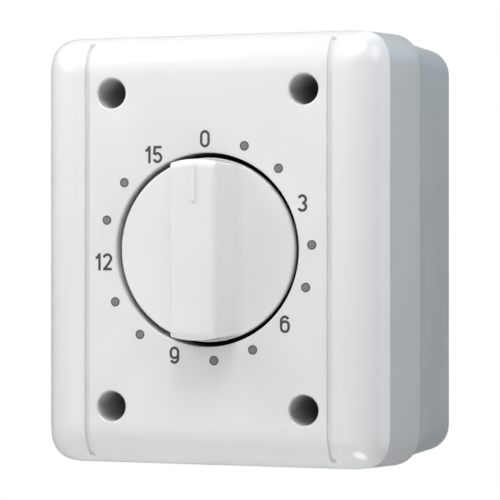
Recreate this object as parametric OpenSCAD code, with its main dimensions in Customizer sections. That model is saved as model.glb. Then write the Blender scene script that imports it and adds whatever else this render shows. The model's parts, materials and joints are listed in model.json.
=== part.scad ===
// Surface-mounted clockwork timer switch, run-back type, 0 to 15 minutes.
// Millimetres. The origin is the centre of the back face, on the wall.
// +Z is up, the dial faces -Y. Every piece is drawn lying on its back, with
// its local z away from the wall, and stood up by from_wall().

/* [Housing] */
// Width of the cover at its front crease
body_w = 65.6; // [58:0.1:75]
// Height of the cover at its front crease
body_h = 78.5; // [72:0.1:90]
// Depth from the wall to the flat of the front
body_d = 48.5; // [46:0.1:54]
// Depth of the base, up to the parting line
base_d = 25.5; // [24:0.1:27]
// Growth of each half size from the crease to the cover's rear edge
cover_flare = 0.95; // [0.3:0.05:1.2]
// How far the base stands in from the cover's rear edge
base_inset = 1.0; // [0.4:0.05:1.5]
// Radius of the roll round the front
roll_r = 8; // [6:0.1:9]
// Turn of the roll, from the flat to the crease, in degrees
roll_angle = 73; // [60:1:80]
// Wall of the cover
cover_wall = 2; // [1.6:0.1:2.4]
// Wall of the base
base_wall = 2.4; // [2:0.1:3]
// Corner radius of the base
base_corner_r = 5.2; // [4:0.1:6]

/* [Front] */
// Distance of the decorative grooves from the centre line
groove_x = 23.2; // [20:0.1:25]
// Width of a groove
groove_w = 0.95; // [0.6:0.05:1.4]
// Depth of a groove
groove_depth = 0.45; // [0.2:0.05:0.8]
// Bore of the cover's screw tubes, diameter
tube_bore = 5.6; // [5.4:0.1:6]
// Distance between the screw tubes, across
tube_span_x = 36.8; // [34:0.1:40]
// Distance between the screw tubes, up
tube_span_y = 57.1; // [54:0.1:60]

/* [Knob] */
// Radius of the knob's disc
knob_r = 16.6; // [15:0.1:17.5]
// Gap between the knob and the opening
knob_gap = 1; // [0.5:0.05:1.5]
// How far the disc lies behind the flat of the front
disc_drop = 0; // [0:0.1:1.5]
// Height of the grip over the disc
grip_h = 7.1; // [6:0.1:9]
// Width of the grip's top face
grip_top_w = 8.3; // [7:0.1:10]
// Width of the grip at its foot
grip_foot_w = 13.2; // [11:0.1:14]
// Radius of the grip's ends at the top
grip_end_r = 15.5; // [14:0.1:16.5]
// Diameter of the spindle
spindle_d = 6; // [5:0.1:6]

/* [Movement] */
// Module of the main wheel and its pinion
main_module = 0.5; // [0.45:0.01:0.5]
// Module of the other wheels
train_module = 0.4; // [0.36:0.01:0.4]
// Turns of the mainspring
spring_turns = 6; // [4:1:6]
// Travel of the knob in degrees
knob_travel = 330; // [300:1:330]

/* [Clearances] */
// Radial clearance of every turning shaft
run_clear = 0.05; // [0.02:0.01:0.08]
// Radial clearance of every fixed pin, screw and spigot
fix_clear = 0.03; // [0.02:0.01:0.08]
// Thinning of each tooth flank
flank_clear = 0.03; // [0.02:0.005:0.04]

/* [Hidden] */
$fn = 64;
both = [-1, 1];
eps = 0.01;
// how far a cut runs past the face that it opens
over = 1;
// how far a moulded form is rooted in the one that carries it
bite = 1;
// room round a screw in a hole that it passes through
pass_clear = 0.2;

// outline of the cover
corner_power = 3;
corner_steps = 9;
roll_steps = 9;
cavity_steps = 5;
roll_run = roll_r * sin(roll_angle);
flat_x = body_w / 2 - roll_run;
flat_y = body_h / 2 - roll_run;
cover_hx = body_w / 2 + cover_flare;
cover_hy = body_h / 2 + cover_flare;
groove_stop = 1.8;
rim_bevel = 0.35;

// base, and the tongue and seal at the parting line
base_hx = cover_hx - base_inset;
base_hy = cover_hy - base_inset;
base_in_x = base_hx - base_wall;
base_in_y = base_hy - base_wall;
floor_root = base_wall / 2;
seal_gap = 0.15;
seal_w = 0.8;
seal_h = 1.8;
seal_corner_r = 5;
seal_hx = cover_hx - cover_wall - seal_gap;
seal_hy = cover_hy - cover_wall - seal_gap;
tongue_hx = seal_hx - seal_w;
tongue_hy = seal_hy - seal_w;
tongue_w = 1.5;
tongue_h = 2.7;
tongue_foot = 3.5;
tongue_in_x = tongue_hx - tongue_w;
tongue_in_y = tongue_hy - tongue_w;
least_corner_r = 0.5;
tie_w = 1.4;
tie_drop = 3;

// cover screws, their tubes in the cover and their bosses in the base
tube_x = tube_span_x / 2;
tube_y = tube_span_y / 2;
tube_r = tube_bore / 2 + 1.4;
tube_end = base_d + tongue_h + 0.3;
tube_floor = 2.5;
head_seat = tube_end + tube_floor;
fin_deep = 14;
fin_reach = 2;
screw_r = 1.6;
liner_r = tube_bore / 2 - fix_clear;
liner_w = 0.4;
liner_top = body_d - 0.5;
screw_head_r = liner_r - liner_w - fix_clear;
screw_head_h = 2.2;
screw_l = 18;
pilot_spare = 3.5;
boss_r = 4;

// pan heads: straight side and top in shares of the height and the radius,
// and the cross recess in the same shares
pan_side = 0.6;
pan_top = 0.7;
recess_half_l = 0.55;
recess_half_w = 0.13;
recess_floor = 0.45;

// cable entry, knock-outs and wall holes
entry_r = 7;
entry_z = base_wall + entry_r + 3.1;
cable_r = 4.5;
lip_w = 1.2;
lip_t = 0.8;
sleeve_in = 2;
knockout_w = 0.9;
knockout_deep = base_wall / 2;
rear_knockout_r = 10;
wall_hole_r = 2.3;
wall_hole_y = 22;
wall_seat_w = 2;
wall_seat_deep = 0.8;

// dial opening and knob
opening_r = knob_r + knob_gap;
collar_w = 1.6;
collar_deep = 5.7;
disc_z = body_d - disc_drop;
disc_t = 1.7;
disc_rim = 0.5;
skirt_z = body_d - 5.3;
skirt_r = knob_r - 0.9;
skirt_w = 1.6;
grip_z = disc_z + grip_h;
grip_lean = (grip_foot_w - grip_top_w) / 2 / grip_h;
grip_wall = 1.7;
rib_w = 1.2;
rib_lift = 0.6;
pointer_w = 1.25;
pointer_h = 0.3;
pointer_y = 8.6;
spindle_r = spindle_d / 2;
spindle_flat = spindle_r - 0.8;
spindle_top = grip_z - 2.4;
hub_r = spindle_r + 1.5;
hub_z = skirt_z - 0.2;
clip_t = 0.35;
clip_w = 2.5;
clip_short = 0.8;
bore_flat = spindle_flat + clip_t + 2 * fix_clear;

// plates of the movement
plate_t = 1.2;
plate_z = base_d + 3.1;
plate_front = plate_z + plate_t;
plate_corner_r = 3;
front_plate_t = 1;
front_plate_z = body_d - 7.5;
front_plate_front = front_plate_z + front_plate_t;
gap = front_plate_z - plate_front;
plate_hx = tongue_in_x - 0.3;
plate_hy = tube_y - tube_r - 1.2;
pillar_x = 20;
pillar_y = 17;
pillar_r = 2.2;
stud_r = 1.25;
stud_out = 0.5;
nut_r = 2.6;
nut_h = 1.6;
front_plate_hx = pillar_x + 3;
front_plate_hy = pillar_y + 3.5;
peep_holes = [[9, 10.5, 5], [-9, 11.5, 4]];
fix_x = plate_hx - 3;
fix_boss_r = 3.2;
fix_screw_r = 1.3;
fix_head_r = 2.4;
fix_head_h = 1.6;
fix_screw_l = 10;
ring_play = 0.1;
ring_w = 0.6;
ring_groove = 0.55;
ring_out = 1.2;
ring_mouth = 3.4;

// train: every axis is placed from the one before it, and the wheels stand
// at levels that share the room between the plates
pressure_angle = 25;
tip_share = 0.92;
root_share = 1.2;
flank_steps = 3;
wheel_teeth = 48;
third_teeth = 36;
pinion_teeth = 12;
escape_teeth = 15;
train_1 = (wheel_teeth + pinion_teeth) * main_module / 2;
train_2 = (wheel_teeth + pinion_teeth) * train_module / 2;
train_3 = (third_teeth + pinion_teeth) * train_module / 2;
dir_1 = 200;
dir_2 = -60;
dir_3 = -3;
dir_4 = 3;
escape_r = 13 * train_module;
pin_r = train_module;
pallet_reach = escape_r + 3;
axis_0 = [0, 0];
axis_1 = axis_0 + train_1 * [cos(dir_1), sin(dir_1)];
axis_2 = axis_1 + train_2 * [cos(dir_2), sin(dir_2)];
axis_3 = axis_2 + train_3 * [cos(dir_3), sin(dir_3)];
axis_4 = axis_3 + pallet_reach * [cos(dir_4), sin(dir_4)];
train_axes = [axis_1, axis_2, axis_3, axis_4];
arbor_r = 0.9;
arbor_shake = 0.3;
pivot_r = 0.6;
pivot_short = 0.1;
level = gap / 11.2;
wheel_t = 1 * level;
main_t = 1.2 * level;
main_z = plate_front + 8.6 * level;
ratchet_z = plate_front + 6.8 * level;
second_z = plate_front + 5.4 * level;
third_z = plate_front + 2.8 * level;
escape_z = plate_front + 5.2 * level;
escape_t = 0.8 * level;
rim_w = 1.3;
main_root = wheel_teeth * main_module / 2 - root_share * main_module;
main_rim_w = 1.8;
main_hub_r = spindle_r + 1.6;
main_arm_w = 5;

// ratchet and pawl on the main wheel
ratchet_r = spindle_r + 3;
ratchet_teeth = 20;
ratchet_tooth = 0.8;
ratchet_lift = 0.05;
click_dir = 20;
click_at = (main_root - 2.2) * [cos(click_dir), sin(click_dir)];
click_pin_r = 0.8;
click_r = 1.5;
click_back = click_at + [1.4, 0.3];
click_beak = (ratchet_r + ratchet_lift) * [cos(-18), sin(-18)];
click_heel = click_beak + [1.3, 0.35];
click_edge = (click_back + click_heel) / 2;
leaf_post_r = 0.7;
leaf_post_dir = -35;
leaf_post_at = (main_root - 1.27) * [cos(leaf_post_dir), sin(leaf_post_dir)];
leaf_touch = 0.05;
leaf_half = 0.15;

// mainspring
spring_z = plate_front + 1 * level;
spring_h = 3.6 * level;
spring_t = 0.3;
spring_in_r = spindle_r + run_clear + spring_t / 2;
spring_out_r = spindle_r + 6;
spiral_steps = 24;
post_r = 1;
post_dir = 60;
post_at = (spring_out_r + spring_t / 2 + post_r) * [cos(post_dir), sin(post_dir)];
// share of a pin's radius that is left on the shank in its plate
shank_share = 0.7;

// switch: the block, the cam and the two poles share the depth behind the
// support plate in units of vert
block_z = base_wall + 6.6;
block_t = 2;
block_floor = block_z + block_t;
block_hx = fix_x - fix_boss_r - 0.5;
block_corner_r = 2;
rear_pivot_r = spindle_r - 1;
rear_pivot_short = 0.2;
vert = (plate_z - block_floor) / 17.6;
cam_r = spindle_r + 6;
notch_r = cam_r - 1.6;
notch_half = 14;
track_t = 2 * vert;
track_a = block_floor + 10 * vert;
track_b = block_floor + 5 * vert;
cam_hub_r = spindle_r + 2.2;
cam_z = block_floor + 3 * vert;
cam_top = plate_z - 1.1 * vert;
tab_z = block_floor + 13.6 * vert;
tab_t = 2 * vert;
stop_r = 1.2;
stop_at = cam_r + 3;
stop_half = asin(stop_r / stop_at);
stop_play = 0.4;
stop_over = 0.5;
tab_half = (360 - knob_travel) / 2 - stop_half - stop_play;
tab_out_r = stop_at + stop_r;
driver_r = 3;
clamp_x = 13.5;
clamp_w = 7;
clamp_l = 7;
clamp_h = 9 * vert;
clamp_mid = plate_hy - driver_r - 1.05;
clamp_y = clamp_mid - clamp_l / 2;
clamp_screw_r = 1.5;
clamp_head_r = 2.5;
clamp_head_h = 2;
clamp_screw_l = 5 * vert;
wire_r = 1.6;
wire_z = block_floor + 2.4 * vert;
block_hy = clamp_y + clamp_l + 0.2;
cheek_w = 1.3;
cheek_top = block_floor + 6.5 * vert;
leaf_x = cam_r + 1;
leaf_t = 0.4;
leaf_w = 4 * vert;
leaf_free = -9;
leaf_foot_w = 6;
leaf_seat_l = 4.1;
leaf_seat_w = 2;
leaf_lip_w = 1.4;
leaf_lip_short = 0.3;
foot_low = block_floor + 2 * vert;
fixed_x = leaf_x + 3.1;
fixed_t = 0.8;
fixed_end = -4;
fixed_foot_w = 3;
fixed_seat_w = 1.6;
tip_r = 1.5;
tip_t = 0.6;
tip_y = -7;
nose_r = 1.15;
nose_x = notch_r + 1.5;
post_x = block_hx - 3;
post_y = 6;
block_post_r = 2.4;
block_screw_r = 1;
block_head_r = 1.9;
block_head_h = 1.3;
block_screw_l = 8;
// side and level of each pole
poles = [[-1, track_a + track_t / 2], [1, track_b + track_t / 2]];

// Stands a piece up, so that its local z points away from the wall.
module from_wall() {
  rotate([90, 0, 0]) children();
}

// Copies a piece to both signs of x and y.
module four(x, y) {
  for (sx = both, sy = both) translate([sx * x, sy * y, 0]) children();
}

// Copies a piece to both signs of x.
module pair(x, y) {
  for (s = both) translate([s * x, y, 0]) children();
}

// Moves a piece to a point of the plan.
module at(p) {
  translate([p[0], p[1], 0]) children();
}

// Rectangle of half sizes hx and hy with round corners.
module rounded_rect(hx, hy, r) {
  square([2 * hx, 2 * (hy - r)], center = true);
  square([2 * (hx - r), 2 * hy], center = true);
  four(hx - r, hy - r) circle(r);
}

// Ring between two rounded rectangles of height h from z.
module rect_ring(hx, hy, r, in_hx, in_hy, z, h) {
  translate([0, 0, z]) linear_extrude(h) difference() {
    rounded_rect(hx, hy, r);
    rounded_rect(in_hx, in_hy, max(r - hx + in_hx, least_corner_r));
  }
}

// Cylinder from z to z + h.
module rod(r, z, h) {
  translate([0, 0, z]) cylinder(r = r, h = h);
}

// Hole through a wall of thickness t at z.
module drill(r, z, t) {
  rod(r, z - over, t + 2 * over);
}

// Box between two corners that are given for the upper right, on the side
// that the signs name.
module side_box(sx, sy, low, high) {
  translate([sx > 0 ? low[0] : -high[0], sy > 0 ? low[1] : -high[1], low[2]]) cube(high - low);
}

// Round bar with a flat on its right.
module flatted_rod(r, flat, z, h) {
  intersection() {
    rod(r, z, h);
    translate([-2 * r, -2 * r, z]) cube([2 * r + flat, 4 * r, h]);
  }
}

// Sector of a disc, half degrees to each side of its middle.
module sector(r, middle, half) {
  rotate([0, 0, middle]) intersection() {
    circle(r);
    polygon([[0, 0], 2 * r * [cos(half), -sin(half)], 2 * r * [cos(half), sin(half)]]);
  }
}

// Outline of the front: a rectangle whose corners reach out by reach, with
// the softened square curve of the moulding.
function soft_corner(q, t, reach) = let (
  c = reach * pow(cos(t), 2 / corner_power),
  s = reach * pow(sin(t), 2 / corner_power)
) q == 0 ? [flat_x + c, flat_y + s]
  : q == 1 ? [-flat_x - s, flat_y + c]
  : q == 2 ? [-flat_x - c, -flat_y - s]
  : [flat_x + s, -flat_y - c];
function soft_outline(reach, steps) = [
  for (q = [0:3], i = [0:steps]) soft_corner(q, 90 * i / steps, reach)
];

// Body of the cover, less an allowance all round: the flat front, the roll
// down to the crease, and the flared sides to the rear edge.
module soft_body(less, rear, rolls, corners) {
  r = roll_r - less;
  first_turn = 2;
  hull() {
    for (k = [0:rolls]) {
      turn = max(roll_angle * k / rolls, first_turn);
      translate([0, 0, body_d - roll_r + r * cos(turn) - eps])
        linear_extrude(eps) polygon(soft_outline(r * sin(turn), corners));
    }
    translate([0, 0, rear])
      linear_extrude(eps) polygon(soft_outline(roll_run + cover_flare - less, corners));
  }
}

// Side view of the front, less an allowance, for the floor of a groove.
module front_profile(less) {
  r = roll_r - less;
  translate([-flat_y, 0]) square([2 * flat_y, body_d - less]);
  for (s = both) translate([s * flat_y, body_d - roll_r]) circle(r);
}

module front_groove(x) {
  groove_end = body_h / 2 - groove_stop;
  translate([x - groove_w / 2, 0, 0]) rotate([90, 0, 90]) linear_extrude(groove_w)
    difference() {
      translate([-groove_end, body_d - roll_r]) square([2 * groove_end, 2 * roll_r]);
      front_profile(groove_depth);
    }
}

// Bevel round a hole in the front.
module bevel(r) {
  translate([0, 0, body_d - rim_bevel])
    cylinder(r1 = r, r2 = r + 2 * rim_bevel, h = 2 * rim_bevel);
}

module front_cover() {
  color([0.93, 0.93, 0.93]) from_wall() difference() {
    union() {
      difference() {
        soft_body(0, base_d, roll_steps, corner_steps);
        soft_body(cover_wall, base_d - 2 * eps, cavity_steps, corner_steps);
      }
      rod(opening_r + collar_w, body_d - collar_deep, collar_deep - bite);
      four(tube_x, tube_y) rod(tube_r, tube_end, body_d - tube_end - bite);
      for (sx = both, sy = both) side_box(sx, sy,
        [tube_x + tube_r - bite, tube_y - tie_w / 2, body_d - fin_deep],
        [flat_x + fin_reach, tube_y + tie_w / 2, body_d - bite]);
    }
    drill(opening_r, body_d - collar_deep, collar_deep);
    bevel(opening_r);
    four(tube_x, tube_y) {
      rod(tube_bore / 2, head_seat, body_d);
      drill(screw_r + pass_clear, tube_end, tube_floor);
      bevel(tube_bore / 2);
    }
    for (s = both) front_groove(s * groove_x);
  }
}

// Lying cylinder through the top or bottom wall, from y over a length l.
module wall_bore(r, y, l) {
  translate([0, y, entry_z]) rotate([-90, 0, 0]) cylinder(r = r, h = l);
}

module base_housing() {
  tie_top = base_d - tie_drop;
  foot_hx = base_in_x + floor_root;
  foot_hy = base_in_y + floor_root;
  color([0.88, 0.89, 0.9]) from_wall() difference() {
    union() {
      difference() {
        linear_extrude(base_d) rounded_rect(base_hx, base_hy, base_corner_r);
        translate([0, 0, base_wall]) linear_extrude(base_d)
          rounded_rect(base_in_x, base_in_y, base_corner_r - base_wall);
      }
      rect_ring(foot_hx, foot_hy, base_corner_r - floor_root, tongue_in_x, tongue_in_y,
        base_d - tongue_foot, tongue_foot);
      rect_ring(tongue_hx, tongue_hy, seal_corner_r - seal_w, tongue_in_x, tongue_in_y,
        base_d - tongue_foot, tongue_foot + tongue_h);
      four(tube_x, tube_y) rod(boss_r, floor_root, tube_end - floor_root);
      for (sx = both, sy = both) side_box(sx, sy,
        [tube_x - tie_w / 2, tube_y + boss_r - bite, floor_root], [tube_x + tie_w / 2, foot_hy, tie_top]);
      pair(fix_x, 0) rod(fix_boss_r, floor_root, plate_z - floor_root);
      for (s = both) side_box(s, 1,
        [fix_x + fix_boss_r - bite, -tie_w / 2, floor_root], [foot_hx, tie_w / 2, tie_top]);
    }
    four(tube_x, tube_y) rod(screw_r + fix_clear, head_seat - screw_l - pilot_spare, screw_l + pilot_spare);
    pair(fix_x, 0)
      rod(fix_screw_r + fix_clear, plate_front - fix_screw_l - pilot_spare, fix_screw_l + pilot_spare);
    for (s = both) at([0, s * wall_hole_y]) {
      drill(wall_hole_r, 0, base_wall);
      rod(wall_hole_r + wall_seat_w, base_wall - wall_seat_deep, wall_seat_deep + over);
    }
    wall_bore(entry_r, base_in_y - over, base_wall + 2 * over);
    difference() {
      wall_bore(entry_r, -base_hy - over, knockout_deep + over);
      wall_bore(entry_r - knockout_w, -base_hy - over, knockout_deep + over);
    }
    difference() {
      rod(rear_knockout_r, -over, knockout_deep + over);
      rod(rear_knockout_r - knockout_w, -over, knockout_deep + over);
    }
  }
}

module cover_seal() {
  color([0.15, 0.15, 0.16]) from_wall() rect_ring(seal_hx, seal_hy, seal_corner_r,
    tongue_hx + fix_clear, tongue_hy + fix_clear, base_d, seal_h);
}

// Pan-head screw seen from its seat: head above z, shank below, cross recess.
module pan_screw(r, head_r, head_h, l, z) {
  side_h = head_h * pan_side;
  difference() {
    union() {
      rod(r, z - l, l);
      rod(head_r, z, side_h);
      translate([0, 0, z + side_h - eps])
        cylinder(r1 = head_r, r2 = head_r * pan_top, h = head_h - side_h);
    }
    for (a = [0, 90]) rotate([0, 0, a])
      translate([-head_r * recess_half_l, -head_r * recess_half_w, z + head_h * recess_floor])
        cube([2 * head_r * recess_half_l, 2 * head_r * recess_half_w, head_h]);
  }
}

module cover_screws() {
  color([0.7, 0.7, 0.72]) from_wall() four(tube_x, tube_y)
    pan_screw(screw_r, screw_head_r, screw_head_h, screw_l, head_seat);
}

// Liners of the screw tubes, which keep the long screws in the cover.
module screw_liners() {
  color([0.6, 0.6, 0.61]) from_wall() four(tube_x, tube_y) difference() {
    rod(liner_r, head_seat, liner_top - head_seat);
    drill(liner_r - liner_w, head_seat, liner_top - head_seat);
  }
}

// Rubber sleeve that grips the hole in the top wall from both sides.
module cable_grommet() {
  inner = base_in_y - lip_t - sleeve_in;
  sleeve_l = base_hy + lip_t - inner;
  color([0.2, 0.2, 0.21]) from_wall() difference() {
    union() {
      wall_bore(entry_r - fix_clear, inner, sleeve_l);
      wall_bore(entry_r + lip_w, base_hy, lip_t);
      wall_bore(entry_r + lip_w, base_in_y - lip_t, lip_t);
    }
    wall_bore(cable_r, inner - over, sleeve_l + 2 * over);
  }
}

// Cross-section of the grip, less an allowance on the flanks and the top.
module grip_section(less, low) {
  top_half = grip_top_w / 2 - less;
  low_half = top_half + grip_lean * (grip_z - low);
  polygon([[-low_half, low], [low_half, low], [top_half, grip_z - less], [-top_half, grip_z - less]]);
}

// Grip bar, less an allowance: the tapered section cut off by the knob's own
// tapered round.
module grip_bar(less, low) {
  intersection() {
    rotate([90, 0, 0]) translate([0, 0, -knob_r]) linear_extrude(2 * knob_r) grip_section(less, low);
    translate([0, 0, low])
      cylinder(r1 = knob_r - less, r2 = grip_end_r - less, h = grip_z + pointer_h - low);
  }
}

module pointer_rib() {
  intersection() {
    translate([0, 0, grip_z - bite]) linear_extrude(bite + pointer_h) {
      translate([0, pointer_y]) circle(pointer_w / 2);
      translate([-pointer_w / 2, pointer_y]) square([pointer_w, knob_r]);
    }
    rod(grip_end_r, grip_z - 2 * bite, 4 * bite);
  }
}

module knob() {
  disc_back = disc_z - disc_t;
  color([0.93, 0.93, 0.93]) from_wall() difference() {
    union() {
      difference() {
        union() {
          rod(skirt_r, skirt_z, disc_z - disc_rim - skirt_z);
          rod(knob_r, disc_back, disc_t - disc_rim);
          translate([0, 0, disc_z - disc_rim])
            cylinder(r1 = knob_r, r2 = knob_r - disc_rim, h = disc_rim);
          grip_bar(0, disc_z - bite);
        }
        rod(skirt_r - skirt_w, skirt_z - over, disc_back - skirt_z + over);
        grip_bar(grip_wall, disc_back - over);
      }
      pointer_rib();
      rod(hub_r, hub_z, disc_z - disc_t / 2 - hub_z);
      intersection() {
        rod(hub_r, disc_back, grip_z - grip_wall / 2 - disc_back);
        grip_bar(grip_wall / 2, disc_back);
      }
      for (a = [0, 90]) rotate([0, 0, a])
        translate([-skirt_r + skirt_w / 2, -rib_w / 2, skirt_z + rib_lift])
          cube([2 * skirt_r - skirt_w, rib_w, disc_back - skirt_z]);
    }
    flatted_rod(spindle_r + fix_clear, bore_flat, hub_z - over, spindle_top + eps - hub_z + over);
  }
}

module knob_clip() {
  clip_l = spindle_top - hub_z - 2 * clip_short;
  color([0.62, 0.63, 0.65]) from_wall()
    translate([spindle_flat + fix_clear, -clip_w / 2, hub_z + clip_short]) cube([clip_t, clip_w, clip_l]);
}

// Part of the spindle beyond its flat.
module flat_cut(z, h) {
  translate([spindle_flat, -spindle_d, z]) cube([spindle_d, 2 * spindle_d, h]);
}

module spindle() {
  foot = block_floor + 2 * rear_pivot_short;
  color([0.72, 0.73, 0.75]) from_wall() difference() {
    union() {
      rod(rear_pivot_r, block_z + rear_pivot_short, block_t + bite);
      rod(spindle_r, foot, spindle_top - foot);
    }
    flat_cut(block_floor, cam_top - block_floor);
    flat_cut(hub_z - rear_pivot_short, spindle_top - hub_z + over);
    translate([0, 0, front_plate_front + ring_play]) difference() {
      cylinder(r = spindle_r + over, h = ring_w);
      cylinder(r = spindle_r - ring_groove, h = ring_w);
    }
  }
}

module spindle_ring() {
  color([0.45, 0.46, 0.48]) from_wall() translate([0, 0, front_plate_front + ring_play + fix_clear])
    linear_extrude(ring_w - 2 * fix_clear) difference() {
      circle(spindle_r + ring_out);
      circle(spindle_r - ring_groove + fix_clear);
      translate([0, -ring_mouth / 2]) square([spindle_d, ring_mouth]);
    }
}

module pivot_holes(z, t) {
  for (p = train_axes) at(p) drill(pivot_r + run_clear, z, t);
}

module support_plate() {
  color([0.74, 0.75, 0.77]) from_wall() difference() {
    translate([0, 0, plate_z]) linear_extrude(plate_t) rounded_rect(plate_hx, plate_hy, plate_corner_r);
    drill(spindle_r + run_clear, plate_z, plate_t);
    pair(fix_x, 0) drill(fix_screw_r + pass_clear, plate_z, plate_t);
    pair(post_x, post_y) drill(block_screw_r + pass_clear, plate_z, plate_t);
    four(pillar_x, pillar_y) drill(stud_r + fix_clear, plate_z, plate_t);
    four(clamp_x, clamp_mid) drill(driver_r, plate_z, plate_t);
    at(post_at) drill(post_r * shank_share + fix_clear, plate_z, plate_t);
    at([0, stop_at]) drill(stop_r * shank_share + fix_clear, plate_z, plate_t);
    pivot_holes(plate_z, plate_t);
  }
}

module front_plate() {
  color([0.16, 0.16, 0.17]) from_wall() difference() {
    translate([0, 0, front_plate_z]) linear_extrude(front_plate_t)
      rounded_rect(front_plate_hx, front_plate_hy, plate_corner_r);
    drill(spindle_r + run_clear, front_plate_z, front_plate_t);
    four(pillar_x, pillar_y) drill(stud_r + fix_clear, front_plate_z, front_plate_t);
    for (p = peep_holes) at(p) drill(p[2], front_plate_z, front_plate_t);
    pivot_holes(front_plate_z, front_plate_t);
  }
}

module plate_pillars() {
  color([0.72, 0.73, 0.75]) from_wall() four(pillar_x, pillar_y) {
    rod(pillar_r, plate_front, gap);
    rod(stud_r, plate_z - stud_out, plate_t + 2 * stud_out);
    rod(stud_r, front_plate_z - stud_out, front_plate_t + nut_h + 2 * stud_out);
  }
}

module pillar_nuts() {
  color([0.78, 0.79, 0.8]) from_wall() four(pillar_x, pillar_y) difference() {
    translate([0, 0, front_plate_front]) linear_extrude(nut_h)
      polygon([for (a = [0:60:300]) nut_r * [cos(a), sin(a)]]);
    drill(stud_r + fix_clear, front_plate_front, nut_h);
  }
}

module plate_screws() {
  color([0.7, 0.7, 0.72]) from_wall() pair(fix_x, 0)
    pan_screw(fix_screw_r, fix_head_r, fix_head_h, fix_screw_l, plate_front);
}

module block_screws() {
  color([0.7, 0.7, 0.72]) from_wall() pair(post_x, post_y)
    pan_screw(block_screw_r, block_head_r, block_head_h, block_screw_l, plate_front);
}

// Involute tooth flank, as the half angle of the tooth at a radius.
function involute(a) = tan(a) * 180 / PI - a;
function half_tooth(m, z, r) = let (rp = m * z / 2, rb = rp * cos(pressure_angle))
  90 / z - flank_clear / rp * 180 / PI + involute(pressure_angle) - involute(acos(min(1, rb / r)));
function flank_point(m, z, r, tooth, side) = let (
  rb = m * z / 2 * cos(pressure_angle),
  a = 360 * tooth / z + side * half_tooth(m, z, max(r, rb))
) r * [cos(a), sin(a)];
function gear_points(m, z) = let (
  rp = m * z / 2,
  rb = rp * cos(pressure_angle),
  low = rp - root_share * m,
  start = max(rb, low),
  tip = rp + tip_share * m,
  flank = [for (k = [0:flank_steps]) start + (tip - start) * k / flank_steps],
  radii = concat(low < rb ? [low] : [], flank),
  last = len(radii) - 1
) [
  for (i = [0:z - 1]) each concat(
    [for (k = [0:last]) flank_point(m, z, radii[k], i, -1)],
    [for (k = [last:-1:0]) flank_point(m, z, radii[k], i, 1)]
  )
];
function rim_in(m, z, w) = m * z / 2 - root_share * m - w;

// Toothed wheel with tooth 0 at the angle turn, on the level low.
module gear(m, z, turn, low, t) {
  translate([0, 0, low]) rotate([0, 0, turn]) linear_extrude(t) polygon(gear_points(m, z));
}

// Openings between the arms of a wheel, from radius r1 to r2.
module arm_windows(r1, r2, arms, arm_w, low, t) {
  translate([0, 0, low - over]) linear_extrude(t + 2 * over) difference() {
    circle(r2);
    circle(r1);
    for (k = [0:arms - 1]) rotate([0, 0, 360 * k / arms]) translate([0, -arm_w / 2]) square([2 * r2, arm_w]);
  }
}

// Shaft between the plates, with a pivot in each.
module arbor() {
  rod(arbor_r, plate_front + arbor_shake, gap - 2 * arbor_shake);
  rod(pivot_r, plate_z + pivot_short, plate_t + gap + front_plate_t - 2 * pivot_short);
}

module main_wheel() {
  hub_low = ratchet_z + main_t + ratchet_lift;
  color([0.82, 0.67, 0.33]) from_wall() difference() {
    union() {
      gear(main_module, wheel_teeth, dir_1, main_z, main_t);
      rod(main_hub_r, hub_low, main_z + main_t / 2 - hub_low);
    }
    drill(spindle_r + fix_clear, hub_low, main_z + main_t - hub_low);
    rotate([0, 0, 65])
      arm_windows(main_hub_r + rim_w / 2, main_root - main_rim_w, 4, main_arm_w, main_z, main_t);
    at(click_at) drill(click_pin_r + fix_clear, main_z, main_t);
  }
}

module ratchet_wheel() {
  tooth_lead = 0.12;
  color([0.6, 0.61, 0.63]) from_wall() difference() {
    translate([0, 0, ratchet_z]) linear_extrude(main_t) polygon([
      for (k = [0:ratchet_teeth - 1], e = [0, 1])
        let (a = 360 * (k + e * tooth_lead) / ratchet_teeth)
          (ratchet_r - e * ratchet_tooth) * [cos(a), sin(a)]
    ]);
    drill(spindle_r + fix_clear, ratchet_z, main_t);
  }
}

// Pawl on the main wheel: a pivot and a beak that drops into the ratchet.
module click() {
  color([0.6, 0.61, 0.63]) from_wall() {
    at(click_at) {
      rod(click_pin_r, ratchet_z + main_t / 2, main_z - ratchet_z + main_t / 2);
      rod(click_r, ratchet_z, main_t);
    }
    translate([0, 0, ratchet_z]) linear_extrude(main_t)
      polygon([click_back, click_at - [click_pin_r + 0.4, 0.6], click_beak, click_heel]);
  }
}

// Leaf that presses the pawl inwards, from a post under the main wheel.
module click_spring() {
  low = ratchet_z + 0.3 * level;
  tip = click_edge + [leaf_touch, 0];
  color([0.62, 0.63, 0.65]) from_wall() {
    at(leaf_post_at) rod(leaf_post_r, low, main_z - low);
    translate([0, 0, low]) linear_extrude(escape_t) polygon([
      leaf_post_at - [leaf_half, 0], leaf_post_at + [leaf_half, 0], tip + [leaf_half, 0], tip
    ]);
  }
}

// Flat spiral strip.
module mainspring() {
  steps = spiral_steps * spring_turns;
  function bend(k, side) = let (
    a = post_dir - 360 * (spring_turns - k / spiral_steps),
    r = spring_in_r + (spring_out_r - spring_in_r) * k / steps + side * spring_t / 2
  ) r * [cos(a), sin(a)];
  color([0.35, 0.37, 0.42]) from_wall() translate([0, 0, spring_z]) linear_extrude(spring_h)
    polygon(concat([for (k = [0:steps]) bend(k, -1)], [for (k = [steps:-1:0]) bend(k, 1)]));
}

module spring_post() {
  color([0.72, 0.73, 0.75]) from_wall() at(post_at) {
    rod(post_r, plate_front, spring_z + spring_h + stud_out - plate_front);
    rod(post_r * shank_share, plate_z, plate_t + stud_out);
  }
}

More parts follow.
